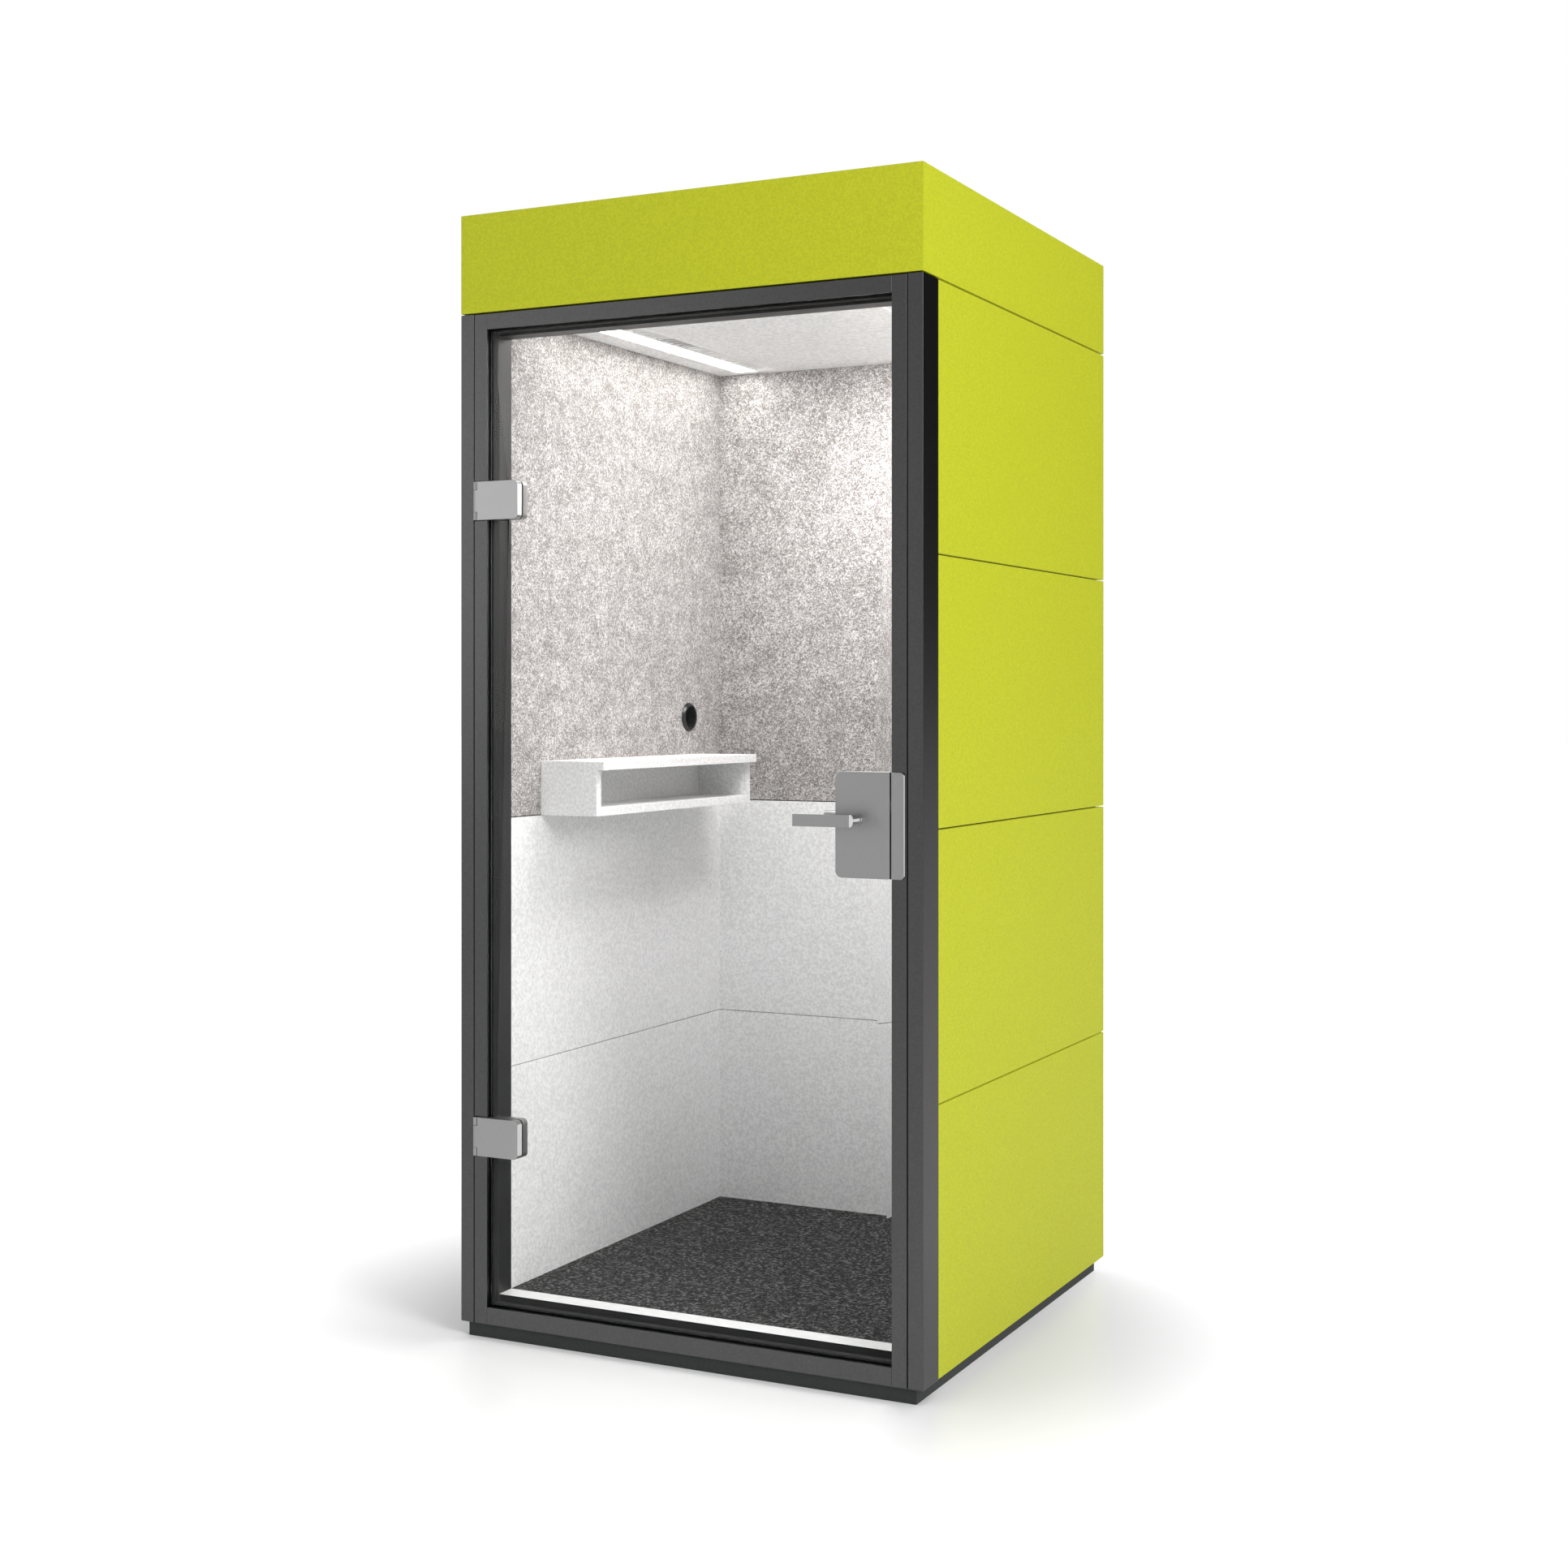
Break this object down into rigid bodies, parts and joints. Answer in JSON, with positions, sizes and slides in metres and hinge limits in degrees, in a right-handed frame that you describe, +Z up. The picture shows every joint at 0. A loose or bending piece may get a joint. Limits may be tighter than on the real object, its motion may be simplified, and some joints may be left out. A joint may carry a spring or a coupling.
{
  "type": "phone booth",
  "caption": "Free-standing indoor acoustic phone booth with hinged glass door, lever latch, wall shelf, felt lining, ceiling lights and roof fans.",
  "frame": {"origin": "centre of the footprint, on the floor", "axes": "+Z up, the glass door faces -Y, +X to the right seen from the door"},
  "size_m": [1.005, 1.115, 2.25],
  "materials": {
    "lime": "satin lime powder coat, fine texture",
    "anthracite": "satin anthracite powder coat",
    "plinth_paint": "satin dark grey paint",
    "foot": "black nylon foot",
    "plywood": "raw birch plywood",
    "carpet_tile": "charcoal loop pile with light flecks",
    "threshold_gloss": "gloss white",
    "liner": "semi-gloss black laminate",
    "seal_rubber": "black rubber",
    "acoustic_core": "black stained acoustic board",
    "felt": "pressed light grey melange felt",
    "white_board": "satin white melamine board",
    "ceiling_board": "light grey textured board",
    "opal": "opal acrylic, lit",
    "tray_aluminium": "mill finish",
    "vent_white": "white powder coat",
    "black_plastic": "moulded black",
    "driver_case": "moulded light grey",
    "shelf_board": "satin white melamine board",
    "satin_steel": "satin nickel look",
    "bright_steel": "bright machined",
    "door_glass": "clear toughened"
  },
  "bodies": {
    "cabin": {"plinth": "plinth_paint", "levelling_feet": "foot", "floor_deck": "plywood", "carpet": "carpet_tile", "threshold_strip": "threshold_gloss", "corner_post_left": "anthracite", "corner_post_right": "anthracite", "door_frame_left": "anthracite", "door_frame_right": "anthracite", "door_frame_head": "anthracite", "door_frame_sill": "anthracite", "jamb_liner": "liner", "door_seal": "seal_rubber", "wall_core_left": "acoustic_core", "wall_core_right": "acoustic_core", "wall_core_rear": "acoustic_core", "outer_panels_left": "lime", "outer_panels_right": "lime", "outer_panels_rear": "lime", "felt_left": "felt", "felt_right": "felt", "felt_rear": "felt", "white_lining_left": "white_board", "white_lining_right": "white_board", "white_lining_rear": "white_board", "roof_curb": "acoustic_core", "ceiling_deck": "plywood", "ceiling_panel": "ceiling_board", "fascia_front": "lime", "fascia_rear": "lime", "fascia_left": "lime", "fascia_right": "lime", "roof_lid": "lime", "light_diffusers": "opal", "light_trays": "tray_aluminium", "vent_grilles": "vent_white", "fan_housings": "black_plastic", "led_driver": "driver_case", "power_inlet": "black_plastic", "shelf_top": "shelf_board", "shelf_bottom": "shelf_board", "shelf_ends": "shelf_board", "shelf_back": "shelf_board", "cable_grommet": "black_plastic", "hinge_frame_leaves": "satin_steel", "hinge_pins": "bright_steel", "strike_plate": "satin_steel"},
    "door": {"glass_door": "door_glass", "hinge_clamps_front": "satin_steel", "hinge_clamps_back": "satin_steel", "clamp_screws": "bright_steel", "lock_case_front": "satin_steel", "lock_case_back": "satin_steel", "lock_screws": "bright_steel"},
    "lever": {"lever_outside": "satin_steel", "lever_inside": "satin_steel", "spindle": "bright_steel"},
    "latch": {"latch_bolt": "bright_steel"},
    "fan_left": {"fan_impeller_left": "black_plastic"},
    "fan_right": {"fan_impeller_right": "black_plastic"}
  },
  "joints": [
    {"name": "door_hinge", "type": "hinge", "parent": "cabin", "child": "door", "pos_m": [-0.4665, -0.526, 1.04], "axis": [0, 0, -1], "range_deg": [0, 100]},
    {"name": "lever_turn", "type": "hinge", "parent": "door", "child": "lever", "pos_m": [0.372, -0.511, 1.0575], "axis": [0, -1, 0], "range_deg": [0, 45], "stiffness_Nm_per_rad": 2, "springref_deg": -34.38},
    {"name": "latch_slide", "type": "slide", "parent": "door", "child": "latch", "axis": [-1, 0, 0], "range_m": [0, 0.0125]},
    {"name": "fan_left_spin", "type": "hinge", "parent": "cabin", "child": "fan_left", "pos_m": [-0.298, 0.018, 2.107], "axis": [0, 0, 1], "continuous": true},
    {"name": "fan_right_spin", "type": "hinge", "parent": "cabin", "child": "fan_right", "pos_m": [0.298, 0.018, 2.107], "axis": [0, 0, 1], "continuous": true}
  ],
  "couplings": [
    {"joint": "latch_slide", "follows": "lever_turn", "m_per_rad": 0.0159}
  ]
}
